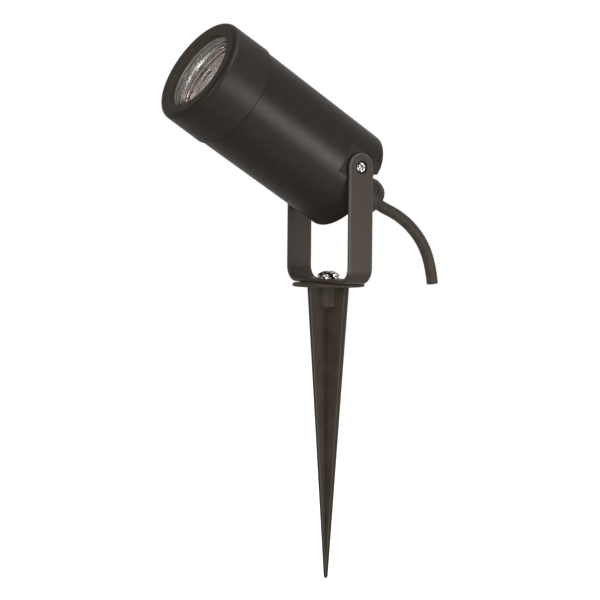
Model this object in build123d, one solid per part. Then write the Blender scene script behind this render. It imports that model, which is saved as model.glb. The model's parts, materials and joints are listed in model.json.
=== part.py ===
from build123d import *
from math import cos, pi, radians, sin, sqrt, tan
import os

# Garden spike spotlight, millimetres, +Z up.
# Origin: on the spike's axis, at the underside of its flange, which is the ground line.
# The head points towards -X at rest and tilts about an axis along Y.

# ---- stance
head_tilt = 30.4          # head axis above horizontal at rest, degrees
fin_turn = 6.2            # spike fins about Z, measured from the bracket, degrees
pivot_rise = 64.8         # pivot axis above the underside of the bracket

# ---- spike: flange, boss and four tapered fins in one moulding
flange_r = 20.5
flange_t = 2.1
flange_edge = 0.9         # rounding of the flange rim
spike_len = 167.0         # flange underside to tip
fin_top_half = 15.2       # half width across the fins at the flange
fin_tip_half = 1.1
fin_top_t = 1.9
fin_tip_t = 1.5
fin_edge = 0.4            # rounding of the fins' long edges
boss_r = 7.5
boss_len = 11.2
boss_cone_len = 3.2
boss_cone_r = 2.6         # small end of the cone under the boss
insert_r = 4.0            # brass M6 insert
insert_len = 9.0
base_thread_r = 3.0       # M6

# ---- bracket: one bent strip
sheet_t = 2.3
arm_w = 16.0
bend_r = 6.7              # inside of the two bends
bracket_edge = 0.8        # rounding of the strip's cut edges
slip_gap = 0.05           # running gap above and below the base, and inside each arm
base_hole_r = 3.3

# ---- base screw and its spring washer
base_head_r = 6.1
base_head_h = 3.4
base_head_rim = 1.1       # height of the straight rim below the dome
base_shank_len = 11.0
washer_t = 1.3
washer_r = 5.7
washer_bore_r = 3.2
washer_split = 0.8

# ---- pivot screws: M3 countersunk, one in each arm
csk_top_r = 3.65          # countersink at the arm's outer face
pivot_head_r = 2.7
pivot_head_rim = 0.1
csk_fit = 0.05            # head stands this far off the countersink
pivot_thread_r = 1.5
pivot_reach = 7.0         # thread inside the head
pivot_arm_hole_r = 1.65

# ---- cross recesses
recess_w = 0.9            # width of a recess arm, M3
base_recess_w = 1.5       # the same, M6

# ---- head barrel; z runs forward along the head's axis from the pivot
rear_len = 12.55          # pivot to rear face
barrel_len = 75.5         # pivot to the seam
lamp_room = 1.1           # bore round the lamp
barrel_wall = 4.0
rear_wall = 3.0
rear_edge = 0.5           # rounding of the rear rim
seat_depth = 1.35         # flat seats under the arms, cut into the barrel
seat_front = 11.3         # seat's shoulder ahead of the pivot
drain_w = 6.0             # drain notch in the rear rim, behind each seat
drain_len = 2.0
drain_deep = 3.4
pivot_boss_r = 5.0
pivot_boss_len = 5.5      # inwards from the bore
seam_chamfer = 0.3

# ---- bezel ring, screwed on over the barrel's spigot
bezel_len = 26.0
bezel_step = 0.8          # bezel stands proud of the barrel at the seam
bezel_draft = 0.4         # and is this much slimmer at its front
bezel_edge = 3.0
bezel_gap = 0.15          # seam between bezel and barrel
lamp_cover = 2.1          # bezel's lip over the lamp's edge
aperture_edge = 0.5
spigot_wall = 2.4
thread_fit = 0.08         # radial clearance of bezel on spigot
oring_wire = 0.65         # wire radius of the seal behind the seam
oring_from_seam = 2.3

# ---- front glass and its U-section gasket
glass_depth = 5.2         # bezel front to glass
glass_t = 4.0
glass_inset = 1.0         # glass smaller than the spigot, for the gasket's wall
gasket_lip = 0.9          # gasket in front of and behind the glass
gasket_set_back = 0.2     # gasket's inner edges behind the aperture and the bore
seal_gap = 0.06           # running gap at the gasket's faces

# ---- lamp, reflector type, 50 mm across, twist-lock pins
lamp_depth = 10.0         # bezel front to lamp face
lamp_r = 24.9
lamp_rim_t = 2.2
lamp_lens_t = 1.5
lamp_len = 46.0           # face to base, without pins
lamp_wall = 1.3
neck_r = 11.4
neck_len = 15.0
lamp_base_r = 10.6
lamp_foot = 5.0           # straight foot of the base
lamp_collar = 6.0         # straight collar under the reflector
capsule_r = 4.4
capsule_len = 20.0
capsule_wall = 0.7
filament_r = 0.9
filament_len = 5.0
pin_spacing = 10.0
pin_r = 1.6
pin_head_r = 2.5
pin_head_len = 2.5
pin_len = 7.2
lamp_twist = 22.0         # quarter-turn lock, degrees

# ---- lampholder
holder_gap = 0.2          # lamp base to holder face
holder_r = 13.5
holder_len = 18.0
holder_plate = 2.2        # slotted front plate
slot_r = 1.75             # narrow slot, half width
keyhole_r = 2.85
cavity_r = 2.9            # half width of the pin cavity
cavity_len = 7.2
contact_t = 0.4
contact_w = 4.0
holder_hole_x = 10.2
holder_hole_r = 1.7
holder_sink_r = 3.0
holder_sink_floor = 4.0   # material left under the screw heads
bridge_t = 1.2
bridge_w = 15.0
bridge_play = 0.15        # bridge's ends in the bore
bridge_hole_r = 6.6
tab_w = 12.0
tab_past = 4.0            # tab reaches this far past the block's screw
post_in = 3.0             # post's axis from the bore
post_r = 4.2
post_screw_in = 4.6
small_thread_r = 1.5      # M3 machine screws
small_head_r = 2.75
small_head_h = 2.0
small_shank = 7.0

# ---- terminal block, two poles
block_len = 14.0
block_w = 20.0
block_h = 12.0
pole_x = 5.0
tube_r = 2.4
tube_bore = 1.6
clamp_r = 1.25
clamp_len = 4.5
clamp_spread = 3.6        # clamp screws either side of the block's middle
block_screw_len = 13.0

# ---- wiring
core_r = 1.25
core_turn = 2.6           # bend radius of the cores' centre lines
core_room = 7.6           # sheath's end to the terminal block
core_straight = 2.3       # straight run at each end of a live core
lead_r = 1.0
lead_x = 4.0
sheath_end = 8.05         # sheath stripped this far ahead of the rear face
earth_x = 10.0
earth_y = -16.0
earth_boss_r = 3.4
earth_boss_h = 8.0
tag_t = 0.8
tag_r = 3.6
barrel_tag_len = 5.6
barrel_tag_r = 1.9

# ---- cable gland, M16
gland_thread_r = 8.0
gland_seal_t = 1.2
gland_hex = 20.0          # across flats
gland_hex_t = 4.5
gland_inner_end = 4.1     # thread end inside the rear wall
gland_bore_r = 4.7
locknut_hex = 21.0
locknut_t = 3.8
nut_r = 10.87
nut_cyl = 16.25           # rear face to the start of the dome
nut_dome = 7.9
nut_mouth_r = 7.4
nut_flat = 20.6           # across the shallow grip flats
nut_wall = 1.6

# ---- flex
flex_r = 3.35
flex_fit = 0.2            # radial clearance in the nut's mouth
# Free tail in the plane Y = 0: a short straight lead out of the gland, then
# points chosen by hand as (X, Z), down to the cut end.
tail_lead = 6.1
tail_points = [(48.3, 40.8), (59.5, 33.2), (68.9, 22.2), (73.9, 8.6), (75.0, 0.2)]

# ---- worked out
bore_r = lamp_r + lamp_room
barrel_r = bore_r + barrel_wall
spigot_r = bore_r + spigot_wall
seat_half = barrel_r - seat_depth
bracket_half = seat_half + slip_gap + sheet_t
pivot_boss_in = bore_r - pivot_boss_len
bezel_seam_r = barrel_r + bezel_step
bezel_front_r = bezel_seam_r - bezel_draft
aperture_r = lamp_r - lamp_cover
glass_r = spigot_r - glass_inset
gasket_in_r = aperture_r + gasket_set_back
gasket_back_r = bore_r + gasket_set_back
post_x = bore_r - post_in
post_screw_x = bore_r - post_screw_in
pivot_z = flange_t + pivot_rise
front_z = barrel_len + bezel_len
rear_z = -rear_len
wall_z = rear_z + rear_wall
glass_front = front_z - glass_depth
glass_back = glass_front - glass_t
spigot_end = glass_back - gasket_lip
lamp_face = front_z - lamp_depth
lamp_back = lamp_face - lamp_len
holder_front = lamp_back - holder_gap
holder_back = holder_front - holder_len
bridge_back = holder_back - bridge_t
sheath_z = rear_z + sheath_end
block_back_z = sheath_z + core_room
block_front_z = block_back_z + block_len
block_mid_z = (block_front_z + block_back_z) / 2
bezel_bore_r = spigot_r + thread_fit
nut_end = rear_z - nut_cyl - nut_dome
hex_top = rear_z - gland_seal_t
hex_end = hex_top - gland_hex_t
base_low = flange_t + slip_gap
base_top = base_low + sheet_t
washer_low = base_top + slip_gap
pivot_sink = csk_top_r - pivot_head_r - pivot_head_rim - csk_fit

head_place = Pos(0, 0, pivot_z) * Rot(0, head_tilt - 90, 0)


# ---- helpers
def turned(points):
    """Solid of revolution about Z from (radius, z) corners."""
    outline = [(r, 0, z) for r, z in points]
    return revolve(make_face(Polyline(*outline, close=True)), Axis.Z)


def rod(radius, low, high, x=0, y=0):
    """Round bar along Z between two heights."""
    return Pos(x, y, (low + high) / 2) * Cylinder(radius, high - low)


def ring(inner, outer, low, high):
    return rod(outer, low, high) - rod(inner, low - 1, high + 1)


def hexagon(across, low, high, turn=0):
    shape = RegularPolygon(across / 2, 6, major_radius=False)
    return Pos(0, 0, low) * Rot(0, 0, turn) * extrude(shape, high - low)


def block(x0, x1, y0, y1, z0, z1):
    return Pos((x0 + x1) / 2, (y0 + y1) / 2, (z0 + z1) / 2) * Box(x1 - x0, y1 - y0, z1 - z0)


def cross(width, reach, depth):
    """Cross recess cutter, its top at z = 0."""
    arm = Box(2 * reach, width, 2 * depth)
    taper = Pos(0, 0, -depth) * Cone(0.05 + width, width * 1.7, 2 * depth)
    return (arm + Rot(0, 0, 90) * arm) + (taper & Box(3 * width, 3 * width, 2 * depth))


def pan_screw(shank_r, shank_len, head_r, head_h, recess):
    """Screw along Z with its head's underside at z = 0 and its shank below."""
    head = fillet((rod(head_r, 0, head_h)).edges().sort_by(Axis.Z)[-1:], head_h * 0.6)
    head -= Pos(0, 0, head_h) * cross(recess, head_r * 0.5, head_h * 0.5)
    return head + rod(shank_r, -shank_len, 0)


def wire(points, radius, turn):
    """Round wire along straight runs joined by tangent arcs."""
    path = FilletPolyline(*points, radius=turn)
    section = Plane(origin=path @ 0, z_dir=path % 0) * Circle(radius)
    return sweep(section, path)


def on_head(shape):
    return head_place * shape


def save(name, *solids):
    shapes = []
    for item in solids:
        shapes += item.solids()
    export_step(shapes[0] if len(shapes) == 1 else Compound(children=shapes), f"parts/{name}.step")


# ---- spike and what is fixed in it
def fin(half_top, half_tip, thick_top, thick_tip, length):
    """A pair of opposite fins along X, tapering down to the tip."""
    top = Rectangle(2 * half_top, thick_top)
    tip = Pos(0, 0, -length) * Rectangle(2 * half_tip, thick_tip)
    body = loft([top.face(), tip.face()], ruled=True)
    return fillet([e for e in body.edges() if e.length > length / 2], fin_edge)


def spike():
    flange = fillet(rod(flange_r, 0, flange_t).edges(), flange_edge)
    pair = fin(fin_top_half, fin_tip_half, fin_top_t, fin_tip_t, spike_len - fin_tip_half)
    fins = Rot(0, 0, fin_turn) * (pair + Rot(0, 0, 90) * pair)
    tip = Pos(0, 0, fin_tip_half - spike_len) * Sphere(fin_tip_half)
    boss = turned([(0, 0), (boss_r, 0), (boss_r, -boss_len),
                   (boss_cone_r, -boss_len - boss_cone_len), (0, -boss_len - boss_cone_len)])
    hole = rod(insert_r, flange_t - insert_len, flange_t + 1)
    return flange + fins + boss + tip - hole


def thread_insert():
    return ring(base_thread_r, insert_r, flange_t - insert_len, flange_t)


def base_screw():
    shank = rod(base_thread_r - 0.05, -base_shank_len, 0)
    rim = rod(base_head_r, 0, base_head_rim)
    dome_h = base_head_h - base_head_rim
    ball_r = (base_head_r ** 2 + dome_h ** 2) / (2 * dome_h)
    dome = Pos(0, 0, base_head_h - ball_r) * Sphere(ball_r)
    dome &= rod(base_head_r, base_head_rim, base_head_h + 1)
    recess = Pos(0, 0, base_head_h) * cross(base_recess_w, base_head_r * 0.5, base_head_h * 0.5)
    return Pos(0, 0, washer_low + washer_t) * (shank + rim + dome - recess)


def spring_washer():
    body = ring(washer_bore_r, washer_r, washer_low, washer_low + washer_t)
    split = Pos(-washer_r, 0, washer_low + washer_t / 2)
    return body - split * Rot(30, 0, 0) * Box(2 * washer_r, washer_split, 4 * washer_t)


# ---- bracket
def u_bracket():
    arm_top = pivot_z + arm_w / 2
    outer_r = bend_r + sheet_t
    outer = Pos(0, 0, (base_low + arm_top) / 2) * Box(arm_w, 2 * bracket_half, arm_top - base_low)
    outer = fillet(outer.edges().filter_by(Axis.X).sort_by(Axis.Z)[:2], outer_r)
    inner_high = arm_top + 10
    inner = Box(2 * arm_w, 2 * (bracket_half - sheet_t), inner_high - base_top)
    inner = Pos(0, 0, (base_top + inner_high) / 2) * inner
    inner = fillet(inner.edges().filter_by(Axis.X).sort_by(Axis.Z)[:2], bend_r)
    strip = outer - inner
    side = block(-arm_w / 2, arm_w / 2, -arm_top, arm_top, base_low - 1, pivot_z)
    side += Pos(0, 0, pivot_z) * Rot(90, 0, 0) * Cylinder(arm_w / 2, 2 * arm_top)
    strip &= side
    long_edges = [e for e in strip.edges() if abs(e.center().Z - pivot_z) < arm_w
                  or abs(abs(e.center().X) - arm_w / 2) < 0.01]
    strip = fillet(long_edges, bracket_edge)
    strip -= rod(base_hole_r, 0, base_top + 1)
    for side_y in (1, -1):
        strip -= Pos(0, side_y * bracket_half, pivot_z) * Rot(90 * side_y, 0, 0) * countersink()
    return strip


def countersink():
    """Cutter for an arm's hole; +Z here points into the arm from its outer face."""
    depth = csk_top_r - pivot_arm_hole_r
    hole = rod(pivot_arm_hole_r, -1, sheet_t + 1)
    return hole + turned([(0, -1), (csk_top_r + 1, -1), (pivot_arm_hole_r, depth), (0, depth)])


def pivot_screw():
    """Countersunk screw; its head's flat top is at z = 0 and its shank runs to +Z."""
    cone_h = pivot_head_r - pivot_thread_r
    total = bracket_half - pivot_sink - seat_half + pivot_reach
    body = turned([(0, 0), (pivot_head_r, 0), (pivot_head_r, pivot_head_rim),
                   (pivot_thread_r - 0.03, pivot_head_rim + cone_h),
                   (pivot_thread_r - 0.03, total), (0, total)])
    return body - Rot(180, 0, 0) * cross(recess_w, pivot_head_r * 0.62, 1.0)


def pivot_screws():
    out = []
    for side_y in (1, -1):
        start = Pos(0, side_y * (bracket_half - pivot_sink), 0) * Rot(90 * side_y, 0, 0)
        out.append(start * Rot(0, 0, 25) * pivot_screw())
    return out


# ---- head shell
def head_barrel():
    barrel = fillet(rod(barrel_r, rear_z, barrel_len).edges().sort_by(Axis.Z)[:1], rear_edge)
    barrel = chamfer(barrel.edges().sort_by(Axis.Z)[-1:], seam_chamfer)
    barrel += rod(spigot_r, barrel_len - 1, spigot_end)
    barrel -= rod(bore_r, wall_z, spigot_end + 1)
    groove_z = barrel_len + oring_from_seam
    groove_r = spigot_r - 2 * oring_wire
    barrel -= ring(groove_r, spigot_r + 1, groove_z - oring_wire, groove_z + oring_wire)
    for side_y in (1, -1):
        reach = 2 * barrel_r
        seat = block(-reach, reach, seat_half, reach, rear_z - 1, seat_front)
        half, drain_y, drain_z = drain_w / 2, seat_half - drain_deep, rear_z + drain_len
        drain = block(-half, half, drain_y, reach, rear_z - 1, drain_z)
        barrel -= Rot(0, 0, 90 - 90 * side_y) * (seat + drain)
        boss_mid = (pivot_boss_in + bore_r + 1) / 2
        boss_len_y = bore_r + 1 - pivot_boss_in
        barrel += Pos(0, side_y * boss_mid, 0) * Rot(90, 0, 0) * Cylinder(pivot_boss_r, boss_len_y)
        tap = pivot_reach + 0.5
        tap_mid = side_y * (seat_half - tap / 2)
        barrel -= Pos(0, tap_mid, 0) * Rot(90, 0, 0) * Cylinder(pivot_thread_r, tap)
    for side_x in (1, -1):
        post = rod(post_r, wall_z - 1, bridge_back, side_x * post_x)
        barrel += post & rod(bore_r + 1, wall_z - 1, bridge_back)
        barrel -= rod(small_thread_r, bridge_back - small_shank - 1, bridge_back + 1, side_x * post_screw_x)
    barrel += rod(earth_boss_r, wall_z - 1, wall_z + earth_boss_h, earth_x, earth_y)
    barrel -= rod(small_thread_r, wall_z + 1, wall_z + earth_boss_h + 1, earth_x, earth_y)
    return barrel - rod(gland_thread_r, rear_z - 1, wall_z + 1)


def bezel():
    back = barrel_len + bezel_gap
    shell = turned([(0, back), (bezel_seam_r, back), (bezel_front_r, front_z), (0, front_z)])
    shell = fillet(shell.edges().filter_by(GeomType.CIRCLE).sort_by(Axis.Z)[-1:], bezel_edge)
    shell = chamfer(shell.edges().filter_by(GeomType.CIRCLE).sort_by(Axis.Z)[:1], seam_chamfer)
    lip_back = glass_front + gasket_lip
    shell -= rod(bezel_bore_r, back - 1, lip_back)
    shell -= rod(aperture_r, lip_back - 1, front_z + 1)
    mouth = shell.edges().filter_by(GeomType.CIRCLE).filter_by(lambda e: abs(e.radius - aperture_r) < 0.01)
    return fillet(mouth.sort_by(Axis.Z)[-1:], aperture_edge)


def bezel_seal():
    groove_r = spigot_r - 2 * oring_wire
    center = groove_r + oring_wire
    return Pos(0, 0, barrel_len + oring_from_seam) * Torus(center, oring_wire)


def front_glass():
    return chamfer(rod(glass_r, glass_back, glass_front).edges(), 0.3)


def glass_gasket():
    outer = spigot_r - seal_gap
    front = glass_front + gasket_lip - seal_gap
    back = glass_back - gasket_lip + seal_gap
    shell = ring(glass_r, outer, back, front)
    shell += ring(gasket_in_r, outer, glass_front, front)
    return shell + ring(gasket_back_r, outer, back, glass_back)


# ---- lamp
def lamp_reflector():
    rim_z = lamp_face - lamp_rim_t
    neck_z = lamp_back + neck_len
    depth = rim_z - neck_z
    steps = 7
    outside = [(lamp_r - 1.0, rim_z)]
    for i in range(1, steps + 1):
        f = i / steps
        outside.append((neck_r + (lamp_r - 1.0 - neck_r) * sqrt(1 - f), rim_z - depth * f))
    inside = [(max(r - lamp_wall, neck_r - lamp_wall), z) for r, z in outside]
    inside[0] = (lamp_r - 1.0 - lamp_wall, rim_z)
    lens_seat = lamp_face - lamp_lens_t
    corners = [(lamp_r - lamp_wall, lamp_face), (lamp_r, lamp_face), (lamp_r, rim_z)]
    corners += outside + inside[::-1]
    corners += [(lamp_r - 1.0 - lamp_wall, lens_seat), (lamp_r - lamp_wall, lens_seat)]
    return turned(corners)


def lamp_lens():
    return rod(lamp_r - lamp_wall, lamp_face - lamp_lens_t, lamp_face)


def lamp_base():
    neck_z = lamp_back + neck_len
    body = turned([(0, lamp_back), (lamp_base_r, lamp_back), (lamp_base_r, lamp_back + lamp_foot),
                   (neck_r, neck_z - lamp_collar), (neck_r, neck_z), (0, neck_z)])
    return body - rod(capsule_r - 0.6, neck_z - 4, neck_z + 1)


def lamp_pins():
    out = []
    for side_y in (1, -1):
        y = side_y * pin_spacing / 2
        stem = rod(pin_r, lamp_back - pin_len + pin_head_len, lamp_back, 0, y)
        out.append(stem + rod(pin_head_r, lamp_back - pin_len, lamp_back - pin_len + pin_head_len, 0, y))
    return out


def lamp_capsule():
    foot = lamp_back + neck_len
    outer = fillet(rod(capsule_r, foot, foot + capsule_len).edges().sort_by(Axis.Z)[-1:], capsule_r * 0.95)
    inner_r = capsule_r - capsule_wall
    inner = rod(inner_r, foot + 4, foot + capsule_len - capsule_wall)
    inner = fillet(inner.edges().sort_by(Axis.Z)[-1:], inner_r * 0.95)
    return outer - inner


def lamp_filament():
    middle = lamp_back + neck_len + capsule_len * 0.6
    coil = Pos(0, 0, middle) * Rot(90, 0, 0) * Cylinder(filament_r, filament_len)
    stems = []
    for side_y in (1, -1):
        y = side_y * (filament_len / 2 - 0.4)
        stems.append(rod(0.3, lamp_back + neck_len + 4, middle, 0, y))
    return coil + stems[0] + stems[1]


# ---- lampholder and what carries it
def arc_slot(half_width, low, high, start, sweep_deg):
    """Slot that follows the pins' circle, about Z, from one angle to another."""
    radius = pin_spacing / 2
    band = ring(radius - half_width, radius + half_width, low, high)
    far = 4 * radius
    corner = (far * cos(radians(sweep_deg)), far * sin(radians(sweep_deg)))
    wedge = make_face(Polyline((0, 0), (far, 0), corner, close=True))
    wedge = Pos(0, 0, low) * Rot(0, 0, start) * extrude(wedge, high - low)
    slot = band & wedge
    for angle in (start, start + sweep_deg):
        slot += Rot(0, 0, angle) * rod(half_width, low, high, radius)
    return slot


def lampholder():
    body = fillet(rod(holder_r, holder_back, holder_front).edges().sort_by(Axis.Z)[-1:], 1.0)
    plate_back = holder_front - holder_plate
    cavity_back = plate_back - cavity_len
    for start in (90, 270):
        body -= arc_slot(slot_r, plate_back - 1, holder_front + 1, start, lamp_twist)
        body -= arc_slot(cavity_r, cavity_back, plate_back, start, lamp_twist)
        key = rod(keyhole_r, plate_back - 1, holder_front + 1, pin_spacing / 2)
        body -= Rot(0, 0, start + lamp_twist) * key
    for side_x in (1, -1):
        body -= rod(holder_hole_r, holder_back - 1, holder_front, side_x * holder_hole_x)
        body -= rod(holder_sink_r, holder_back + holder_sink_floor, holder_front + 1, side_x * holder_hole_x)
        body -= rod(lead_r + 0.1, holder_back - 1, cavity_back + 1, 0, side_x * lead_x)
    return body


def holder_contacts():
    """Spring strips under the pins, one in each cavity, each with a crest under its pin."""
    low = holder_front - holder_plate - cavity_len
    crest = lamp_back - pin_len - 0.1
    half = contact_w / 2
    out = []
    for side_y in (1, -1):
        y = side_y * pin_spacing / 2
        foot = block(-half, half, y - 1.6, y + 1.6, low, low + contact_t)
        rise = block(-half, contact_t - half, y - 1.2, y + 1.2, low, crest)
        top = block(-half, half * 0.6, y - 1.2, y + 1.2, crest - contact_t, crest)
        out.append(foot + rise + top)
    return out


def holder_bridge():
    strap = block(-bore_r, bore_r, -bridge_w / 2, bridge_w / 2, bridge_back, holder_back)
    strap &= rod(bore_r - bridge_play, bridge_back - 1, holder_back + 1)
    tab_y = block_h / 2
    tab_end = block_mid_z - tab_past
    strap += block(-tab_w / 2, tab_w / 2, tab_y, tab_y + bridge_t, tab_end, holder_back)
    opening = rod(bridge_hole_r, bridge_back - 1, holder_back + 1)
    strap -= opening & block(-bore_r, bore_r, -bore_r, tab_y, bridge_back - 1, holder_back + 1)
    for side_x in (1, -1):
        strap -= rod(small_thread_r + 0.15, bridge_back - 1, holder_back + 1, side_x * post_screw_x)
        strap -= rod(small_thread_r, bridge_back - 1, holder_back + 1, side_x * holder_hole_x)
    hole = Pos(0, tab_y + bridge_t / 2, block_mid_z) * Rot(90, 0, 0)
    return strap - hole * Cylinder(small_thread_r, 2 * bridge_t)


def bridge_screws():
    screw = pan_screw(small_thread_r - 0.05, small_shank, small_head_r, small_head_h, recess_w)
    return [Pos(side_x * post_screw_x, 0, holder_back) * screw for side_x in (1, -1)]


def holder_screws():
    shank = holder_sink_floor + bridge_t + 0.6
    screw = pan_screw(small_thread_r - 0.05, shank, small_head_r, small_head_h, recess_w)
    floor = holder_back + holder_sink_floor
    return [Pos(side_x * holder_hole_x, 0, floor) * screw for side_x in (1, -1)]


# ---- terminal block and wiring
def terminal_block():
    body = block(-block_w / 2, block_w / 2, -block_h / 2, block_h / 2, block_back_z, block_front_z)
    body = fillet(body.edges().filter_by(Axis.Z), 1.2)
    for side_x in (1, -1):
        body -= rod(tube_r, block_back_z + 0.8, block_front_z - 0.8, side_x * pole_x)
        body -= rod(tube_bore + 0.2, block_back_z - 1, block_front_z + 1, side_x * pole_x)
        for side_z in (1, -1):
            at = Pos(side_x * pole_x, -block_h / 4 - 1, block_mid_z + side_z * clamp_spread)
            body -= at * Rot(90, 0, 0) * Cylinder(clamp_r + 0.25, block_h / 2 + 2)
    hole = Pos(0, 0, block_mid_z) * Rot(90, 0, 0) * Cylinder(small_thread_r + 0.15, block_h + 2)
    return body - hole


def terminal_tubes():
    out = []
    for side_x in (1, -1):
        tube = rod(tube_r - 0.02, block_back_z + 0.85, block_front_z - 0.85, side_x * pole_x)
        tube -= rod(tube_bore, block_back_z - 1, block_front_z + 1, side_x * pole_x)
        for side_z in (1, -1):
            at = Pos(side_x * pole_x, -tube_r, block_mid_z + side_z * clamp_spread)
            tube -= at * Rot(90, 0, 0) * Cylinder(clamp_r, 2 * tube_r)
        out.append(tube)
    return out


def terminal_screws():
    out = []
    for side_x in (1, -1):
        for side_z in (1, -1):
            start = -core_r - 0.05
            mid_y = start - clamp_len / 2
            at = Pos(side_x * pole_x, mid_y, block_mid_z + side_z * clamp_spread)
            screw = at * Rot(90, 0, 0) * Cylinder(clamp_r - 0.04, clamp_len)
            slot = Pos(side_x * pole_x, start - clamp_len, block_mid_z + side_z * clamp_spread)
            out.append(screw - slot * Box(3 * clamp_r, 1.2, 0.6))
    return out


def block_screw():
    screw = pan_screw(small_thread_r - 0.05, block_screw_len, small_head_r, small_head_h, recess_w)
    return Pos(0, -block_h / 2, block_mid_z) * Rot(90, 0, 0) * screw


def live_core(side_x, start):
    pole = side_x * pole_x
    points = [(start[0], start[1], sheath_z), (start[0], start[1], sheath_z + core_straight),
              (pole, 0, block_back_z - core_straight), (pole, 0, block_mid_z - 1)]
    return wire(points, core_r, core_turn)


def holder_lead(side_x):
    """Lead from a terminal pole to the contact above it."""
    pole = side_x * pole_x
    contact_z = holder_front - holder_plate - cavity_len
    room = bridge_back - block_front_z
    points = [(pole, 0, block_mid_z + 1), (pole, 0, block_front_z + 0.18 * room),
              (0, side_x * lead_x, bridge_back - 0.14 * room), (0, side_x * lead_x, contact_z)]
    return wire(points, lead_r, core_turn)


def earth_direction():
    length = sqrt(earth_x ** 2 + earth_y ** 2)
    return -earth_x / length, -earth_y / length


def earth_tag():
    dx, dy = earth_direction()
    top = wall_z + earth_boss_h
    tag = rod(tag_r, top, top + tag_t) + block(0, tag_r + 1.6, -1.4, 1.4, top, top + tag_t)
    crimp_z = top + barrel_tag_r
    start = tag_r + 1.0
    crimp = Rot(0, 90, 0) * rod(barrel_tag_r, start, start + barrel_tag_len)
    hollow = Rot(0, 90, 0) * rod(core_r, start + 0.5, start + 2 * barrel_tag_len)
    tag += Pos(0, 0, crimp_z) * crimp
    tag -= Pos(0, 0, crimp_z) * hollow
    tag -= rod(small_thread_r + 0.1, top - 1, top + 2)
    angle = Vector(1, 0, 0).get_angle(Vector(dx, dy, 0))
    return Pos(earth_x, earth_y, 0) * Rot(0, 0, angle) * tag


def earth_screw():
    top = wall_z + earth_boss_h + tag_t
    screw = pan_screw(small_thread_r - 0.05, earth_boss_h - 2.5, small_head_r, small_head_h, recess_w)
    return Pos(earth_x, earth_y, top) * screw


def earth_core(start):
    dx, dy = earth_direction()
    crimp_z = wall_z + earth_boss_h + barrel_tag_r
    reach = tag_r + 1.0 + barrel_tag_len / 2
    points = [(start[0], start[1], sheath_z), (start[0], start[1], crimp_z),
              (earth_x + dx * reach, earth_y + dy * reach, crimp_z)]
    return wire(points, core_r, core_turn)


def core_starts():
    """Centres of the three cores where the sheath ends, the earth core towards its tag."""
    dx, dy = earth_direction()
    spread = core_r / cos(radians(30)) + 0.02
    earth = Vector(-dx * spread, -dy * spread, 0)
    turns = [earth.rotate(Axis.Z, angle) for angle in (0, 120, 240)]
    return [(v.X, v.Y) for v in turns]


# ---- gland
def gland_body():
    tube = rod(gland_thread_r - 0.05, hex_end, wall_z + gland_inner_end)
    tail = rod(gland_thread_r - 0.4, nut_end + nut_dome + 1.5, hex_end + 1)
    body = tube + tail + hexagon(gland_hex, hex_end, hex_top, 12)
    body -= rod(gland_bore_r, nut_end, wall_z + gland_inner_end + 1)
    return body - rod(gland_thread_r - 1.6, nut_end, hex_end - 1)


def gland_washer():
    return ring(gland_thread_r + 0.1, gland_hex / 2 - 0.1, hex_top, rear_z)


def gland_locknut():
    return hexagon(locknut_hex, wall_z, wall_z + locknut_t, 12) - rod(gland_thread_r, wall_z - 1, wall_z + 9)


def gland_insert():
    return ring(flex_r + 0.02, gland_thread_r - 1.7, nut_end + nut_dome + 0.5, hex_end - 1)


def gland_nut():
    dome_z = nut_end + nut_dome
    cyl = rod(nut_r, dome_z, hex_end)
    side = nut_r - nut_mouth_r
    arc = EllipticalCenterArc((nut_mouth_r, dome_z), side, nut_dome, start_angle=270, arc_size=90)
    rest = Polyline((nut_r, dome_z), (0, dome_z), (0, nut_end), (nut_mouth_r, nut_end))
    body = cyl + revolve(Plane.XZ * make_face([arc, rest]), Axis.Z)
    grip = hexagon(nut_flat, dome_z - 1, hex_end, 12)
    body &= grip + rod(nut_r + 1, nut_end - 1, dome_z - 1)
    body -= rod(gland_thread_r, dome_z + 0.5, hex_end + 1)
    return body - rod(flex_r + flex_fit, nut_end - 1, dome_z + 1)


# ---- flex
def flex_end():
    """Sheathed stretch held in the gland, from the mouth to where the sheath is stripped."""
    return rod(flex_r, nut_end, sheath_z)


def tail_route():
    ends = [head_place * Pos(0, 0, z) for z in (nut_end, nut_end - tail_lead)]
    return [(end.position.X, end.position.Z) for end in ends] + tail_points


def tail_radii(route):
    radii = []
    for a, b, c in zip(route, route[1:], route[2:]):
        one = Vector(b[0] - a[0], 0, b[1] - a[1])
        two = Vector(c[0] - b[0], 0, c[1] - b[1])
        half_turn = radians(one.get_angle(two) / 2)
        radii.append(0.45 * min(one.length, two.length) / tan(half_turn))
    return radii


def flex_tail():
    route = tail_route()
    radii = tail_radii(route)
    path = FilletPolyline(*[(x, 0, z) for x, z in route], radius=radii)
    section = Plane(origin=path @ 0, z_dir=path % 0) * Circle(flex_r)
    tail = sweep(section, path)
    print("flex tail radii", [round(r, 1) for r in radii], "length", round(path.length, 1))
    print("flex tail volume", round(tail.volume, 1), "by length", round(pi * flex_r ** 2 * path.length, 1))
    return tail


# ---- write every sub-part
earth_start, blue_start, brown_start = core_starts()

save("spike", spike())
save("thread_insert", thread_insert())
save("base_screw", base_screw())
save("spring_washer", spring_washer())
save("u_bracket", u_bracket())

save("head_barrel", on_head(head_barrel()))
save("pivot_screws", *[on_head(s) for s in pivot_screws()])
save("bezel_seal", on_head(bezel_seal()))
save("bezel", on_head(bezel()))
save("front_glass", on_head(front_glass()))
save("glass_gasket", on_head(glass_gasket()))

save("lamp_reflector", on_head(lamp_reflector()))
save("lamp_lens", on_head(lamp_lens()))
save("lamp_base", on_head(lamp_base()))
save("lamp_pins", *[on_head(s) for s in lamp_pins()])
save("lamp_capsule", on_head(lamp_capsule()))
save("lamp_filament", on_head(lamp_filament()))

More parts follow.
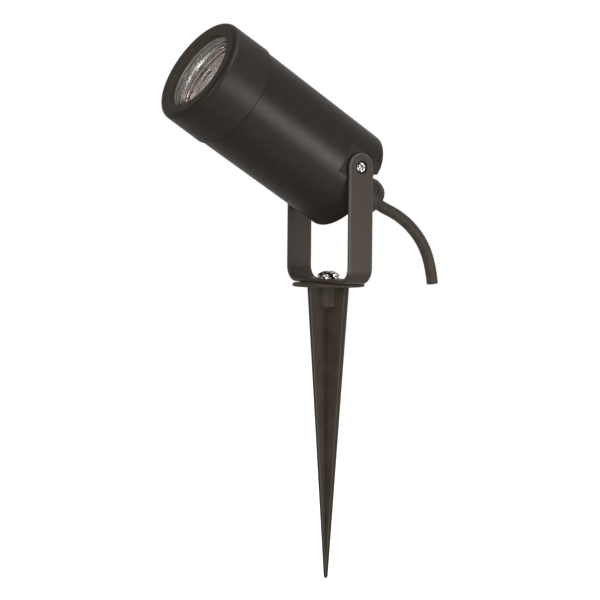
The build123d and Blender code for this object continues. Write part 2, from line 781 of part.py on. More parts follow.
save("lampholder", on_head(lampholder()))
save("holder_contacts", *[on_head(s) for s in holder_contacts()])
save("holder_bridge", on_head(holder_bridge()))
save("bridge_screws", *[on_head(s) for s in bridge_screws()])
save("holder_screws", *[on_head(s) for s in holder_screws()])
save("holder_leads", *[on_head(holder_lead(side)) for side in (1, -1)])
save("terminal_block", on_head(terminal_block()))
save("terminal_tubes", *[on_head(s) for s in terminal_tubes()])
save("terminal_screws", *[on_head(s) for s in terminal_screws()])
save("block_screw", on_head(block_screw()))
save("core_brown", on_head(live_core(-1, brown_start)))
save("core_blue", on_head(live_core(1, blue_start)))
save("core_earth", on_head(earth_core(earth_start)))
save("earth_tag", on_head(earth_tag()))
save("earth_screw", on_head(earth_screw()))

save("gland_body", on_head(gland_body()))
save("gland_washer", on_head(gland_washer()))
save("gland_locknut", on_head(gland_locknut()))
save("gland_insert", on_head(gland_insert()))
save("gland_nut", on_head(gland_nut()))
save("flex_end", on_head(flex_end()))
save("flex_tail", flex_tail())
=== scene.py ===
import bmesh
import bpy
import json
import math
from mathutils import Matrix, Vector


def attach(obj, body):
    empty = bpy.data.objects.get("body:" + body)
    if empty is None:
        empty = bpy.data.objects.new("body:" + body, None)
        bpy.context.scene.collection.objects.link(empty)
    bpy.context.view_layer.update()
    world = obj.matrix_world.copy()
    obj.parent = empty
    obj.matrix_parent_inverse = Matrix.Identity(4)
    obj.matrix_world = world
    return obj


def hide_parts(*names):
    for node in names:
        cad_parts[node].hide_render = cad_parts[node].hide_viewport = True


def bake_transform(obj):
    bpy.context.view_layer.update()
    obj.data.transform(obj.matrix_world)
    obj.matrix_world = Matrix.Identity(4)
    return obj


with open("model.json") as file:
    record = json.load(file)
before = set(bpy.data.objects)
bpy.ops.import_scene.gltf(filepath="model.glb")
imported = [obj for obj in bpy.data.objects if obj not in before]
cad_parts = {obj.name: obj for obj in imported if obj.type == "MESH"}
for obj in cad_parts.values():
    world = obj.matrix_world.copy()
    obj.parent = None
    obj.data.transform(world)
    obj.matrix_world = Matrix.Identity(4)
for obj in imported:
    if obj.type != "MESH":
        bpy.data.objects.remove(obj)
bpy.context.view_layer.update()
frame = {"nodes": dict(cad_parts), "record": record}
nodes = frame["nodes"]

# ------------------------------------------------------------------ sizes, metres
joints = {joint["name"]: joint for joint in frame["record"]["behaviour"]["joints"]}
PIVOT = Vector(joints["tilt"]["pos_m"])
AXIS = Vector(joints["lamp_twist"]["axis"]).normalized()
HEAD = Matrix.Translation(PIVOT) @ Matrix.Rotation(math.asin(AXIS.z) - math.pi / 2, 4, "Y")
ORIGIN, SIDEWAYS, UPWARD = Vector((0, 0, 0)), Vector((0, 1, 0)), Vector((0, 0, 1))

# Heights in the head run forward along its axis from the tilt pivot. Radii are from that axis.
BEZEL_FRONT = 0.1015
APERTURE_R = 0.0228
BORE_R = 0.0260                # barrel's bore round the lamp
LAMP_FACE = BEZEL_FRONT - 0.0100
LAMP_R = 0.0249
COVER_R, COVER_T = 0.0229, 0.0015
GLASS_FRONT = BEZEL_FRONT - 0.0052
GLASS_BACK = GLASS_FRONT - 0.0040
GLASS_R = 0.0274

ARM_HALF = 0.0080              # half width of the bracket's strip
ARM_FACE = 0.0310              # arms' outer faces, from the middle
COUNTERSINK_R = 0.00365
FIN_TURN = math.radians(6.2)
FIN_TOP, FIN_TIP, FIN_LENGTH = 0.0152, 0.0011, 0.1659

# Free flex: its route in X and Z from the dome nut to the cut.
FLEX_D = 0.0067
TAIL = [(0.03165, 0.04833), (0.03692, 0.04525), (0.0483, 0.0408), (0.0595, 0.0332),
        (0.0689, 0.0222), (0.0739, 0.0086), (0.0750, 0.0002)]

GROUND = -0.1672
AIM = Vector((-0.035, 0, 0.09))    # the lights face this point of the head


# ------------------------------------------------------------------ camera
def make_camera():
    place = Vector((-0.57532, -0.81682, 0.04616))
    turn, lift, roll = (math.radians(angle) for angle in (55.763, 3.096, 0.501))
    right = Vector((math.sin(turn), -math.cos(turn), 0))
    back = Vector((-math.cos(turn) * math.cos(lift), -math.sin(turn) * math.cos(lift), math.sin(lift)))
    up = back.cross(right)
    across = math.cos(roll) * right + math.sin(roll) * up
    upward = math.cos(roll) * up - math.sin(roll) * right
    data = bpy.data.cameras.new("camera")
    data.sensor_fit = "HORIZONTAL"
    data.sensor_width = 36
    data.lens = 105.818
    data.clip_start, data.clip_end = 0.05, 20
    camera = bpy.data.objects.new("camera", data)
    bpy.context.scene.collection.objects.link(camera)
    camera.matrix_world = axes_at(place, across, upward, back)
    bpy.context.scene.camera = camera


def axes_at(place, x, y, z):
    """Matrix with the given axes and place."""
    made = Matrix((x, y, z)).transposed().to_4x4()
    made.translation = place
    return made


# ------------------------------------------------------------------ shader helpers
class Shader:
    """A Principled material with helpers for procedural detail in object space."""

    def __init__(self, name, color, rough, metal=0.0, level=0.5, **sockets):
        self.name = name
        self.mat = bpy.data.materials.new(name)
        self.mat.use_nodes = True
        self.tree = self.mat.node_tree
        self.bsdf = self.tree.nodes["Principled BSDF"]
        self.bsdf.inputs["Base Color"].default_value = (*color, 1)
        self.bsdf.inputs["Roughness"].default_value = rough
        self.bsdf.inputs["Metallic"].default_value = metal
        self.bsdf.inputs["Specular IOR Level"].default_value = level
        for key, value in sockets.items():
            self.bsdf.inputs[key.replace("_", " ")].default_value = value
        self.coords = self.node("ShaderNodeTexCoord").outputs["Object"]
        self.color = None
        self.height = None

    def node(self, kind, **values):
        made = self.tree.nodes.new(kind)
        for key, value in values.items():
            setattr(made, key, value)
        return made

    def link(self, a, b):
        self.tree.links.new(a, b)

    # values
    def noise(self, scale, detail, rough=0.5):
        made = self.node("ShaderNodeTexNoise")
        made.inputs["Scale"].default_value = scale
        made.inputs["Detail"].default_value = detail
        made.inputs["Roughness"].default_value = rough
        self.link(self.coords, made.inputs["Vector"])
        return made.outputs["Fac"]

    def bands(self, value, scale):
        """Noise in bands along one value."""
        made = self.node("ShaderNodeTexNoise", noise_dimensions="1D")
        made.inputs["Scale"].default_value = scale
        made.inputs["Detail"].default_value = 3
        self.link(value, made.inputs["W"])
        return made.outputs["Fac"]

    def stripes(self, scale, distortion):
        """Slanting stripes, for wound and braided surfaces."""
        made = self.node("ShaderNodeTexWave", wave_type="BANDS", bands_direction="DIAGONAL")
        made.inputs["Scale"].default_value = scale
        made.inputs["Distortion"].default_value = distortion
        self.link(self.coords, made.inputs["Vector"])
        return made.outputs["Fac"]

    def vector(self, operation, source, value=None):
        made = self.node("ShaderNodeVectorMath", operation=operation)
        self.link(source, made.inputs[0])
        if value is not None:
            made.inputs[1].default_value = value
        return made

    def from_line(self, centre, axis):
        """Distance from a line."""
        moved = self.vector("SUBTRACT", self.coords, centre).outputs["Vector"]
        crossed = self.vector("CROSS_PRODUCT", moved, axis).outputs["Vector"]
        return self.vector("LENGTH", crossed).outputs["Value"]

    def along(self, centre, axis):
        """Distance from a point, measured along an axis."""
        moved = self.vector("SUBTRACT", self.coords, centre).outputs["Vector"]
        return self.vector("DOT_PRODUCT", moved, axis).outputs["Value"]

    def combine(self, operation, one, two=None):
        made = self.node("ShaderNodeMath", operation=operation)
        self.link(one, made.inputs[0])
        if two is not None:
            self.link(two, made.inputs[1])
        return made.outputs["Value"]

    def both(self, one, two):
        return self.combine("MULTIPLY", one, two)

    def spread(self, value, start, end, low=0.0, high=1.0):
        """Runs from low to high while value runs from start to end."""
        made = self.node("ShaderNodeMapRange")
        made.inputs["From Min"].default_value = start
        made.inputs["From Max"].default_value = end
        made.inputs["To Min"].default_value = low
        made.inputs["To Max"].default_value = high
        self.link(value, made.inputs["Value"])
        return made.outputs["Result"]

    def below(self, value, edge, soft=0.0001):
        """1 where value is under edge and 0 over it, blended over soft."""
        return self.spread(value, edge + soft / 2, edge - soft / 2)

    def beyond(self, value, edge, soft=0.0001):
        """1 where value is over edge and 0 under it, blended over soft."""
        return self.spread(value, edge - soft / 2, edge + soft / 2)

    # effects
    def ramp(self, value, low, high, start=0.35, end=0.65):
        """Colour that runs from low to high with value."""
        made = self.node("ShaderNodeValToRGB")
        made.color_ramp.elements[0].position = start
        made.color_ramp.elements[0].color = (*low, 1)
        made.color_ramp.elements[1].position = end
        made.color_ramp.elements[1].color = (*high, 1)
        self.link(value, made.inputs["Fac"])
        return made.outputs["Color"]

    def paint(self, color):
        self.color = color
        self.link(color, self.bsdf.inputs["Base Color"])

    def tint(self, value, low, high, start=0.35, end=0.65):
        self.paint(self.ramp(value, low, high, start, end))

    def cover(self, color, factor):
        """Colour laid over the base colour where factor is 1."""
        mix = self.node("ShaderNodeMixRGB")
        mix.inputs["Color2"].default_value = (*color, 1)
        self.link(self.color, mix.inputs["Color1"])
        self.link(factor, mix.inputs["Fac"])
        self.paint(mix.outputs["Color"])

    def rough(self, value, low, high):
        """Roughness that runs from low to high with a noise, which mostly lies between 0.3 and 0.7."""
        self.link(self.spread(value, 0.3, 0.7, low, high), self.bsdf.inputs["Roughness"])

    def bump(self, value, strength, distance):
        """Relief laid on top of any relief the material already has."""
        made = self.node("ShaderNodeBump")
        made.inputs["Strength"].default_value = strength
        made.inputs["Distance"].default_value = distance
        self.link(value, made.inputs["Height"])
        if self.height:
            self.link(self.height, made.inputs["Normal"])
        self.height = made.outputs["Normal"]
        self.link(self.height, self.bsdf.inputs["Normal"])


def shade(color, factor):
    return tuple(c * factor for c in color)


# ------------------------------------------------------------------ general looks
def coat(name, color, rough, level, grain=2600):
    """Satin powder coat: fine pebbled skin with a slight long-wave unevenness."""
    made = Shader(name, color, rough, level=level)
    made.tint(made.noise(160, detail=4), shade(color, 0.93), shade(color, 1.08))
    made.rough(made.noise(320, detail=3), rough - 0.03, rough + 0.03)
    made.bump(made.noise(grain, detail=3, rough=0.6), strength=0.10, distance=0.00006)
    made.bump(made.noise(420, detail=2), strength=0.06, distance=0.00012)
    return made


def moulded(name, color, rough, level, grain=3800):
    """Moulded plastic with a spark-eroded grain."""
    made = Shader(name, color, rough, level=level)
    made.tint(made.noise(90, detail=5), shade(color, 0.82), shade(color, 1.16))
    made.rough(made.noise(240, detail=4), rough - 0.05, rough + 0.05)
    made.bump(made.noise(grain, detail=4, rough=0.65), strength=0.16, distance=0.00008)
    return made


def metal(name, color, rough):
    made = Shader(name, color, rough, metal=1.0)
    made.tint(made.noise(700, detail=4, rough=0.6), shade(color, 0.84), shade(color, 1.05))
    made.rough(made.noise(1500, detail=4, rough=0.6), rough * 0.7, rough * 1.35)
    made.bump(made.noise(3000, detail=3), strength=0.05, distance=0.00004)
    return made


def rubber(name, color, rough=0.55, level=0.35):
    made = Shader(name, color, rough, level=level)
    made.tint(made.noise(260, detail=4), shade(color, 0.8), shade(color, 1.2))
    made.rough(made.noise(500, detail=3), rough - 0.07, rough + 0.07)
    made.bump(made.noise(2400, detail=4, rough=0.6), strength=0.14, distance=0.0001)
    return made


def glass(name, color, ior, dust):
    """Clear glass. Dust blurs it in patches."""
    made = Shader(name, color, rough=0.0, Transmission_Weight=1.0, IOR=ior)
    made.tint(made.noise(60, detail=3), shade(color, 0.97), color)
    made.rough(made.noise(140, detail=4), 0.0, dust)
    made.bump(made.noise(500, detail=2), strength=0.02, distance=0.00003)
    return made


def steatite(name, color):
    """Unglazed lamp ceramic."""
    made = Shader(name, color, rough=0.62, level=0.4)
    made.tint(made.noise(420, detail=5), shade(color, 0.90), shade(color, 1.04))
    made.rough(made.noise(800, detail=3), 0.5, 0.72)
    made.bump(made.noise(2600, detail=4), strength=0.2, distance=0.00008)
    return made


# ------------------------------------------------------------------ looks of single pieces
WARM_BLACK = (0.0185, 0.0143, 0.0108)


def housing_look(name):
    """The barrel's coat, with a pale colour painted on the bore round the lamp at the mouth: painted light in
    a deep gap that lies in shade.
    """
    made = coat(name, WARM_BLACK, rough=0.42, level=0.05)
    painted_light_from, painted_bore_light = 0.086, (0.36, 0.33, 0.31)
    bore = made.below(made.from_line(PIVOT, AXIS), BORE_R + 0.00006)
    mouth = made.beyond(made.along(PIVOT, AXIS), painted_light_from, 0.0002)
    # Painted light: a pale colour on the bore at the mouth, where the gap is in shade.
    made.cover(painted_bore_light, made.both(bore, mouth))
    return made


def bracket_look(name):
    """The bracket's coat, with painted shadow in the screws' countersinks and a painted highlight along the
    arms' outer edges.
    """
    made = coat(name, (0.048, 0.0362, 0.0300), rough=0.50, level=0.05, grain=3200)
    painted_edge_highlight, shadow, blend = (0.098, 0.084, 0.075), (0.003, 0.0025, 0.002), 0.0003
    edge_from, face_from = ARM_HALF - 0.0009, ARM_FACE - 0.0008
    from_pivot = made.from_line(PIVOT, SIDEWAYS)
    across = made.combine("ABSOLUTE", made.along(ORIGIN, (1, 0, 0)))
    outward = made.combine("ABSOLUTE", made.along(ORIGIN, SIDEWAYS))
    above_pivot = made.beyond(made.along(PIVOT, UPWARD), 0.0, blend)
    round_end = made.both(made.beyond(from_pivot, edge_from, blend), above_pivot)
    edge = made.combine("MAXIMUM", made.beyond(across, edge_from, blend), round_end)
    # Painted highlight along the arms' outer edges, where their rounded corners would catch the light.
    made.cover(painted_edge_highlight, made.both(edge, made.beyond(outward, face_from, blend)))
    made.cover(shadow, made.below(from_pivot, COUNTERSINK_R + 0.00007))
    return made


def bezel_look(name):
    """The bezel's coat, with painted shade on the front face and painted light down the mouth."""
    made = coat(name, WARM_BLACK, rough=0.46, level=0.058)
    face, mouth = (0.0135, 0.0090, 0.0048), (0.066, 0.053, 0.041)
    radius = made.from_line(PIVOT, AXIS)
    made.bump(made.bands(radius, scale=900), strength=0.25, distance=0.0002)
    # Painted shade: a darker colour on the front face.
    made.cover(face, made.beyond(made.along(PIVOT, AXIS), BEZEL_FRONT - 0.0007, 0.0008))
    # Painted light: a lighter colour down the mouth, which lies in shade.
    made.cover(mouth, made.below(radius, APERTURE_R + 0.00012, 0.0002))
    return made


def spike_look(name):
    """The spike's plastic, with a painted highlight along the corners of the fins and painted shade on their
    ends.
    """
    made = moulded(name, (0.050, 0.0400, 0.0295), rough=0.48, level=0.04)
    painted_fin_highlight, painted_fin_shade = (0.092, 0.076, 0.061), (0.030, 0.024, 0.018)
    one_fin = Vector((math.cos(FIN_TURN), math.sin(FIN_TURN), 0))
    other_fin = Vector((-math.sin(FIN_TURN), math.cos(FIN_TURN), 0))
    one, other = (made.combine("ABSOLUTE", made.along(ORIGIN, fin)) for fin in (one_fin, other_fin))
    # The fins' ends are at FIN_TOP at every height once their taper is added back.
    taper = made.along(ORIGIN, -UPWARD * ((FIN_TOP - FIN_TIP) / FIN_LENGTH))
    reach = made.combine("ADD", made.combine("MAXIMUM", one, other), taper)
    fins = made.below(made.along(ORIGIN, UPWARD), -0.0002, 0.0002)
    # Painted highlight along the fins' corners and painted shade on their end faces.
    made.cover(painted_fin_highlight, made.both(fins, made.beyond(reach, FIN_TOP - 0.0010, 0.0004)))
    made.cover(painted_fin_shade, made.both(fins, made.beyond(reach, FIN_TOP - 0.0002, 0.0002)))
    return made


def screw_steel(name):
    """Bright plated screws, their colour broken into random dark and bright patches as painted reflections.
    """
    made = Shader(name, (0.3, 0.295, 0.28), rough=0.22, metal=1.0)
    # Painted reflections: dark and bright patches in the metal's colour.
    made.tint(made.noise(820, detail=2), (0.02, 0.019, 0.018), (0.50, 0.485, 0.46), start=0.46, end=0.62)
    made.rough(made.noise(900, detail=3), 0.10, 0.32)
    made.bump(made.noise(700, detail=2), strength=0.6, distance=0.0003)
    return made


def reflector_look(name):
    """Aluminised glass, ringed down the bowl, bright on the bead and darker on the flat rim."""
    made = Shader(name, (0.60, 0.54, 0.515), rough=0.2, metal=1.0)
    bead, rim = (0.64, 0.60, 0.575), (0.17, 0.155, 0.148)
    made.tint(made.bands(made.along(PIVOT, AXIS), scale=420), (0.50, 0.445, 0.42), (0.84, 0.765, 0.73))
    radius = made.from_line(PIVOT, AXIS)
    made.cover(bead, made.beyond(radius, COVER_R - 0.0001))
    made.cover(rim, made.beyond(radius, COVER_R + 0.0006))
    made.rough(made.noise(500, detail=3), 0.12, 0.24)
    made.bump(made.noise(300, detail=2), strength=0.06, distance=0.0001)
    return made


def striped(name, one, two):
    """Two-colour core insulation."""
    made = Shader(name, one, rough=0.45, level=0.4)
    made.tint(made.stripes(160, distortion=0.6), one, two, start=0.48, end=0.52)
    made.rough(made.noise(600, detail=3), 0.38, 0.52)
    made.bump(made.noise(2000, detail=3), strength=0.1, distance=0.00006)
    return made


def fibre(name, color):
    """Braided glass-fibre sleeve."""
    made = Shader(name, color, rough=0.8, level=0.3, Sheen_Weight=0.3)
    braid = made.stripes(900, distortion=1.5)
    made.tint(braid, shade(color, 0.72), color, start=0.2, end=0.8)
    made.rough(made.noise(900, detail=3), 0.72, 0.88)
    made.bump(braid, strength=0.5, distance=0.0001)
    return made


SLOT_LOOKS = [
    housing_look("housing_coat"),
    bracket_look("bracket_coat"),
    spike_look("spike_plastic"),
    moulded("gland_nylon", (0.064, 0.0545, 0.0465), rough=0.45, level=0.03),
    screw_steel("bright_steel"),
    metal("zinc_plate", (0.60, 0.61, 0.63), rough=0.34),
    metal("nickel_plate", (0.74, 0.71, 0.66), rough=0.22),
    metal("brass", (0.72, 0.52, 0.24), rough=0.26),
    metal("filament_wire", (0.36, 0.35, 0.34), rough=0.42),
    rubber("seal_rubber", (0.018, 0.018, 0.018)),
    rubber("gasket_rubber", (0.31, 0.275, 0.25), rough=0.45),
    rubber("flex_rubber", (0.060, 0.0485, 0.0385), rough=0.58, level=0.04),
    glass("front_glass", (0.97, 0.985, 0.98), ior=1.06, dust=0.004),
    glass("lamp_glass", (0.96, 0.955, 0.95), ior=1.15, dust=0.02),
    glass("capsule_glass", (0.98, 0.98, 0.98), ior=1.46, dust=0.02),
    steatite("lamp_ceramic", (0.70, 0.67, 0.60)),
    steatite("holder_ceramic", (0.76, 0.74, 0.69)),
    rubber("core_brown", (0.12, 0.045, 0.018), rough=0.42),
    rubber("core_blue", (0.012, 0.07, 0.30), rough=0.42),
    striped("core_earth", (0.09, 0.36, 0.05), (0.72, 0.62, 0.04)),
    fibre("lead_sleeve", (0.74, 0.71, 0.63)),
    reflector_look("reflector_mirror"),
]
LOOKS = {look.name: look.mat for look in SLOT_LOOKS}


def dress_nodes():
    for row in frame["record"]["subparts"]:
        mesh = nodes[row["node"]].data
        mesh.materials.clear()
        mesh.materials.append(LOOKS[row["material_slot"]])
    nodes["bezel"].data.materials[0] = bezel_look("bezel_coat").mat


# ------------------------------------------------------------------ mesh helpers
def add(name, bm, slot_name, smooth=True):
    """Piece from a bmesh, in the look of its slot."""
    bmesh.ops.recalc_face_normals(bm, faces=bm.faces)
    mesh = bpy.data.meshes.new(name)
    bm.to_mesh(mesh)
    bm.free()
    mesh.materials.append(LOOKS[slot_name])
    for face in mesh.polygons:
        face.use_smooth = smooth
    piece = bpy.data.objects.new(name, mesh)
    bpy.context.scene.collection.objects.link(piece)
    return piece


def skin(bm, rings, close=False):
    """Quads between neighbouring rings of points, and from the last to the first where close is set."""
    pairs = list(zip(rings, rings[1:]))
    if close:
        pairs.append((rings[-1], rings[0]))
    for low, high in pairs:
        for k in range(len(low)):
            n = (k + 1) % len(low)
            bm.faces.new((low[k], low[n], high[n], high[k]))


def cap(bm, rings):
    """Flat faces on the first and last ring."""
    bm.faces.new(list(reversed(rings[0])))
    bm.faces.new(rings[-1])


def lathe(bm, profile, steps, close=False, shift=None):
    """Profile of radii and heights turned about the head's axis. Returns its rings.

    shift gives what is added to the radius and height of point k in ring i.
    """
    rings = []
    for i, (radius, z) in enumerate(profile):
        ring = []
        for k in range(steps):
            angle = 2 * math.pi * k / steps
            out, up = shift(i, k) if shift else (0.0, 0.0)
            reach = radius + out
            point = Vector((reach * math.cos(angle), reach * math.sin(angle), z + up))
            ring.append(bm.verts.new(HEAD @ point))
        rings.append(ring)
    skin(bm, rings, close)
    return rings


def arc(radius, z, size, start, stop, step=15):
    """Points on an arc of the given size round (radius, z), from start down to stop, in degrees."""
    angles = [math.radians(a) for a in range(start, stop - 1, -step)]
    return [(radius + size * math.cos(a), z + size * math.sin(a)) for a in angles]


# ------------------------------------------------------------------ lamp
def crease(bm, rings, cut):
    """Sharp edges along every cut-th ring and column."""
    for i, ring in enumerate(rings):
        for k in range(len(ring)):
            if i % cut == 0:
                bm.edges.get((ring[k], ring[(k + 1) % len(ring)])).smooth = False
            if k % cut == 0 and i:
                bm.edges.get((ring[k], rings[i - 1][k])).smooth = False


def make_reflector():
    """Faceted reflector bowl with a bead and flat rim round its cover, and a smooth outside."""
    wall, bead, corner = 0.0013, 0.00025, 0.0003
    neck_r, neck_z = 0.0114, LAMP_FACE - 0.0310
    wide, rim_back = 0.0239, LAMP_FACE - 0.0022
    cover_seat, rim_front = LAMP_FACE - COVER_T, LAMP_FACE - 0.0003
    rows, columns, cut, outside_rows = 9, 24, 4, 12
    ring_bulge, facet_bulge, row_growth = 0.00024, 0.00010, 1.15
    steps = columns * cut

    def bowl(f):
        return neck_r + (wide - neck_r) * math.sqrt(max(0.0, 1 - f)), rim_back - (rim_back - neck_z) * f

    def inside(f):
        radius, z = bowl(f)
        return radius - wall, z

    def dome(f):
        """1 in the middle of a facet and 0 at its borders."""
        return 1 - (2 * f - 1) ** 2

    def swell(i, k):
        return -(ring_bulge * dome(i / cut % 1) + facet_bulge * dome(k / cut % 1)), 0.0

    bm = bmesh.new()
    inside_line = [inside((i / (rows * cut)) ** row_growth) for i in range(rows * cut + 1)]
    crease(bm, lathe(bm, inside_line, steps, shift=swell), cut)
    rim_line = [(wide - wall, rim_back), (wide - wall, cover_seat), (COVER_R, cover_seat)]
    rim_line += arc(COVER_R + bead, LAMP_FACE - bead, bead, 180, 0)
    rim_line += [(COVER_R + 2 * bead, rim_front)]
    rim_line += arc(LAMP_R - corner, rim_front - corner, corner, 90, 0)
    rim_line += [(LAMP_R, rim_back), (wide, rim_back)]
    lathe(bm, rim_line, steps)
    outside_line = [bowl(i / outside_rows) for i in range(outside_rows + 1)]
    lathe(bm, outside_line + [(neck_r - wall, neck_z)], steps)
    bmesh.ops.remove_doubles(bm, verts=bm.verts, dist=1e-6)
    piece = add("reflector_bowl", bm, "reflector_mirror")
    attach(piece, "lamp")
    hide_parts("lamp_reflector")


def make_cover():
    """Lamp's cover glass: a rolled edge round a shallow dimpled pane."""
    steps, pane_rings = 72, 9
    pane_r, pane_z = 0.0213, LAMP_FACE - 0.0004
    dimple, dimples_round, dimple_rows = 0.00012, 18, 4
    edge = [(COVER_R, LAMP_FACE - COVER_T), (COVER_R, LAMP_FACE - 0.0007), (COVER_R - 0.0002, pane_z),
            (pane_r, pane_z)]
    pane = [(pane_r * (1 - k / pane_rings), pane_z) for k in range(1, pane_rings)]

    def wave(i, k):
        row = max(0, i - len(edge) + 1) / pane_rings
        angle = 2 * math.pi * k / steps
        return 0.0, dimple * math.sin(angle * dimples_round) * math.sin(math.pi * row * dimple_rows)

    bm = bmesh.new()
    cap(bm, lathe(bm, edge + pane, steps, shift=wave))
    piece = add("lamp_cover", bm, "lamp_glass")
    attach(piece, "lamp")
    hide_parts("lamp_lens")


# ------------------------------------------------------------------ gasket
def make_gasket():
    """U-section gasket round the front glass, with moulded ribs on its lips."""
    room, lip_t, set_back, rib = 0.00004, 0.00082, 0.0002, 0.00012
    outer, wall = 0.0283, GLASS_R + room
    lip, rear_lip = APERTURE_R + set_back, BORE_R + set_back
    front, back = GLASS_FRONT + lip_t, GLASS_BACK - lip_t
    glass_high, glass_low = GLASS_FRONT + room, GLASS_BACK - room
    groove_z, rib_pitch, ribs = front - 0.00032, 0.0008, 4
    bead_r, bead_half = 0.02685, 0.00015
    profile = [(outer, back), (outer, front), (lip, front)]
    profile += [(lip, groove_z + rib), (lip + rib, groove_z), (lip, groove_z - rib), (lip, glass_high)]
    profile += [(wall, glass_high)]
    for k in range(1, ribs + 1):
        z = glass_high - k * rib_pitch
        profile += [(wall, z + rib), (wall - rib, z), (wall, z - rib)]
    profile += [(wall, glass_low), (bead_r + bead_half, glass_low)]
    profile += [(bead_r, glass_low + rib / 3), (bead_r - bead_half, glass_low)]
    profile += [(rear_lip, glass_low), (rear_lip, back)]
    bm = bmesh.new()
    lathe(bm, profile, steps=120, close=True)
    piece = add("gasket_ring", bm, "gasket_rubber")
    piece.data.set_sharp_from_angle(angle=math.radians(25))
    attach(piece, "lens")
    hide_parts("glass_gasket")


# ------------------------------------------------------------------ flex
def flex_line():
    """Centre line of the free flex: points along the smooth curve that TAIL steers."""
    data = bpy.data.curves.new("flex_route", "CURVE")
    data.dimensions = "3D"
    data.resolution_u = 16
    spline = data.splines.new("NURBS")
    spline.points.add(len(TAIL) - 1)
    for point, (x, z) in zip(spline.points, TAIL):
        point.co = (x, 0, z, 1)
    spline.order_u = 3
    spline.use_endpoint_u = True
    route = bpy.data.objects.new("flex_route", data)
    mesh = bpy.data.meshes.new_from_object(route)
    line = [v.co.copy() for v in mesh.vertices]
    bpy.data.meshes.remove(mesh)
    bpy.data.objects.remove(route)
    bpy.data.curves.remove(data)
    return line


def tube(bm, line, radius, steps, offset=(0.0, 0.0)):
    """Tube round a line in the plane Y = 0, with flat ends. offset shifts it sideways and up off the line."""
    rings = []
    for i, point in enumerate(line):
        ahead = line[min(i + 1, len(line) - 1)] - line[max(i - 1, 0)]
        up = ahead.normalized().cross(SIDEWAYS)
        centre = point + SIDEWAYS * offset[0] + up * offset[1]
        ring = []
        for k in range(steps):
            angle = 2 * math.pi * k / steps
            ring.append(bm.verts.new(centre + (SIDEWAYS * math.cos(angle) + up * math.sin(angle)) * radius))
        rings.append(ring)
    skin(bm, rings)
    cap(bm, rings)


def make_cores(line):
    """Brown, blue and earth cores showing at the cut, each round its copper strands."""
    core_r, core_out, core_depth, core_proud = 0.00112, 0.00135, 0.002, 0.0001
    strand_r, strand_out, strand_proud, outer_strands = 0.00016, 0.00034, 0.0001, 6
    along = (line[-1] - line[-2]).normalized()
    inside, proud = line[-1] - along * core_depth, line[-1] + along * core_proud
    pieces = []
    strands = bmesh.new()
    for i, color in enumerate(("brown", "blue", "earth")):
        angle = math.radians(90 + 120 * i)
        side, up = core_out * math.cos(angle), core_out * math.sin(angle)
        bm = bmesh.new()
        tube(bm, [inside, proud], core_r, steps=24, offset=(side, up))
        pieces.append(add("cut_" + color, bm, "core_" + color, smooth=False))
        turns = [2 * math.pi * k / outer_strands for k in range(outer_strands)]
        places = [(side + strand_out * math.cos(turn), up + strand_out * math.sin(turn)) for turn in turns]
        for place in places + [(side, up)]:
            tube(strands, [inside, proud + along * strand_proud], strand_r, steps=8, offset=place)
    pieces.append(add("cut_strands", strands, "brass", smooth=False))
    pieces[-1].data.materials[0] = metal("copper_strand", (0.74, 0.38, 0.24), rough=0.3).mat
    for piece in pieces:
        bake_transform(piece)
    return pieces


def make_flex():
    line = flex_line()
    bm = bmesh.new()
    tube(bm, line, FLEX_D / 2, steps=32)
    flex = add("flex", bm, "flex_rubber")
    for face in flex.data.polygons:
        face.use_smooth = len(face.vertices) == 4
    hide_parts("flex_tail")
    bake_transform(flex)
    make_cores(line)


# ------------------------------------------------------------------ studio
def seen(tree, glossy=1.0):
    """1 for camera rays and rays through glass, glossy for reflected ones and 0 for the rest."""
    path = tree.nodes.new("ShaderNodeLightPath").outputs

    def combine(operation, one, two):
        made = tree.nodes.new("ShaderNodeMath")
        made.operation = operation
        tree.links.new(one, made.inputs[0])
        if isinstance(two, float):
            made.inputs[1].default_value = two
        else:
            tree.links.new(two, made.inputs[1])
        return made.outputs[0]

    reflected = combine("MULTIPLY", path["Is Glossy Ray"], glossy)
    direct = combine("MAXIMUM", path["Is Camera Ray"], reflected)
    return combine("MAXIMUM", direct, path["Is Transmission Ray"])


def choose(tree, factor, dark, light, output):
    """Output that runs from the dark shader to the light one with factor."""
    mix = tree.nodes.new("ShaderNodeMixShader")
    tree.links.new(factor, mix.inputs["Fac"])
    tree.links.new(dark.outputs[0], mix.inputs[1])
    tree.links.new(light.outputs[0], mix.inputs[2])
    tree.links.new(mix.outputs[0], tree.nodes.new(output).inputs["Surface"])


def make_world():
    """White to the camera, softer as a light."""
    world = bpy.data.worlds.new("studio")
    bpy.context.scene.world = world
    world.use_nodes = True
    tree = world.node_tree
    tree.nodes.clear()
    soft = tree.nodes.new("ShaderNodeBackground")
    soft.inputs["Color"].default_value = (1, 0.99, 0.975, 1)
    soft.inputs["Strength"].default_value = 0.50
    white = tree.nodes.new("ShaderNodeBackground")
    white.inputs["Color"].default_value = (1, 1, 1, 1)
    white.inputs["Strength"].default_value = 1.0
    choose(tree, seen(tree), soft, white, "ShaderNodeOutputWorld")


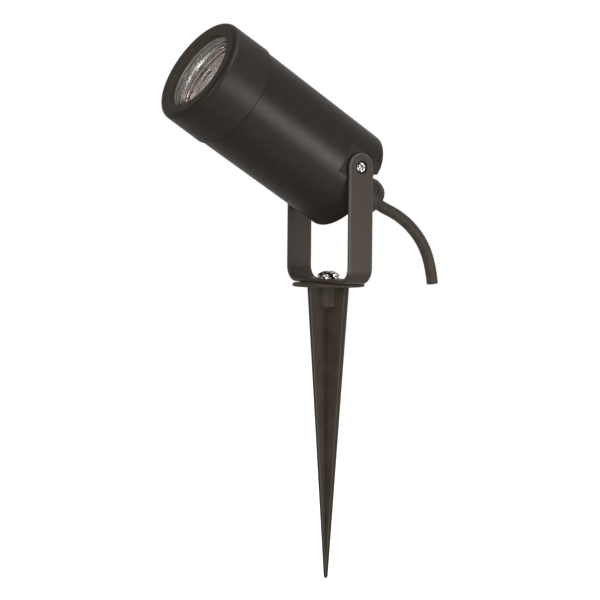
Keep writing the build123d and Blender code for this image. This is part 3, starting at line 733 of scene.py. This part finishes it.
def make_floor():
    """Plain pale floor, raised to white for the camera."""
    half = 6.0
    bm = bmesh.new()
    corners = ((-half, -half), (half, -half), (half, half), (-half, half))
    bm.faces.new([bm.verts.new((x, y, GROUND)) for x, y in corners])
    mesh = bpy.data.meshes.new("floor")
    bm.to_mesh(mesh)
    bm.free()
    mat = bpy.data.materials.new("floor")
    mat.use_nodes = True
    tree = mat.node_tree
    tree.nodes.clear()
    diffuse = tree.nodes.new("ShaderNodeBsdfDiffuse")
    diffuse.inputs["Color"].default_value = (0.86, 0.86, 0.85, 1)
    glow = tree.nodes.new("ShaderNodeEmission")
    glow.inputs["Strength"].default_value = 0.58
    lit = tree.nodes.new("ShaderNodeAddShader")
    tree.links.new(diffuse.outputs[0], lit.inputs[0])
    tree.links.new(glow.outputs[0], lit.inputs[1])
    choose(tree, seen(tree, glossy=0.4), diffuse, lit, "ShaderNodeOutputMaterial")
    mesh.materials.append(mat)
    floor = bpy.data.objects.new("floor", mesh)
    bpy.context.scene.collection.objects.link(floor)


def area(name, toward, distance, size, power, along=(1, 0, 0), color=(1, 1, 1)):
    """Soft box aimed at the head. along is the direction of its first side."""
    data = bpy.data.lights.new(name, "AREA")
    data.shape = "RECTANGLE"
    data.size, data.size_y = size
    data.energy = power
    data.color = color
    lamp = bpy.data.objects.new(name, data)
    bpy.context.scene.collection.objects.link(lamp)
    back = Vector(toward).normalized()
    side = Vector(along)
    side = (side - back * side.dot(back)).normalized()
    lamp.matrix_world = axes_at(AIM + back * distance, side, back.cross(side), back)
    lamp.visible_camera = False
    return lamp


def make_lights():
    """Four lights for reflections alone, which make the barrel's streak and light edges, and three fills."""
    warm = (1, 0.94, 0.87)
    reflected = [
        area("strip", toward=(0.364, -0.881, -0.303), distance=0.60, size=(0.24, 0.18), power=9.5,
             color=warm),
        area("edge_left", toward=(-0.817, -0.576, -0.08), distance=1.2, size=(0.16, 1.0), power=20,
             along=(-0.576, 0.817, 0)),
        area("edge_top", toward=(0.10, -0.75, 0.60), distance=1.2, size=(1.5, 0.12), power=50,
             along=(0.585, 0.44, 0.68)),
        area("low_strip", toward=(0.06, -0.60, -0.80), distance=0.25, size=(0.30, 0.12), power=0.40,
             color=warm),
    ]
    for lamp in reflected:
        lamp.visible_diffuse = False
    area("front_fill", toward=(-0.86, -0.48, 0.16), distance=1.5, size=(0.9, 0.9), power=12)
    area("side_fill", toward=(0.80, -0.55, 0.20), distance=1.5, size=(0.9, 0.9), power=3)
    area("top_fill", toward=(0.40, -0.10, 0.91), distance=1.5, size=(0.9, 0.9), power=8)


dress_nodes()
make_camera()
make_flex()
make_reflector()
make_cover()
make_gasket()
make_world()
make_floor()
make_lights()

scene = bpy.context.scene
scene.view_settings.view_transform = "Standard"
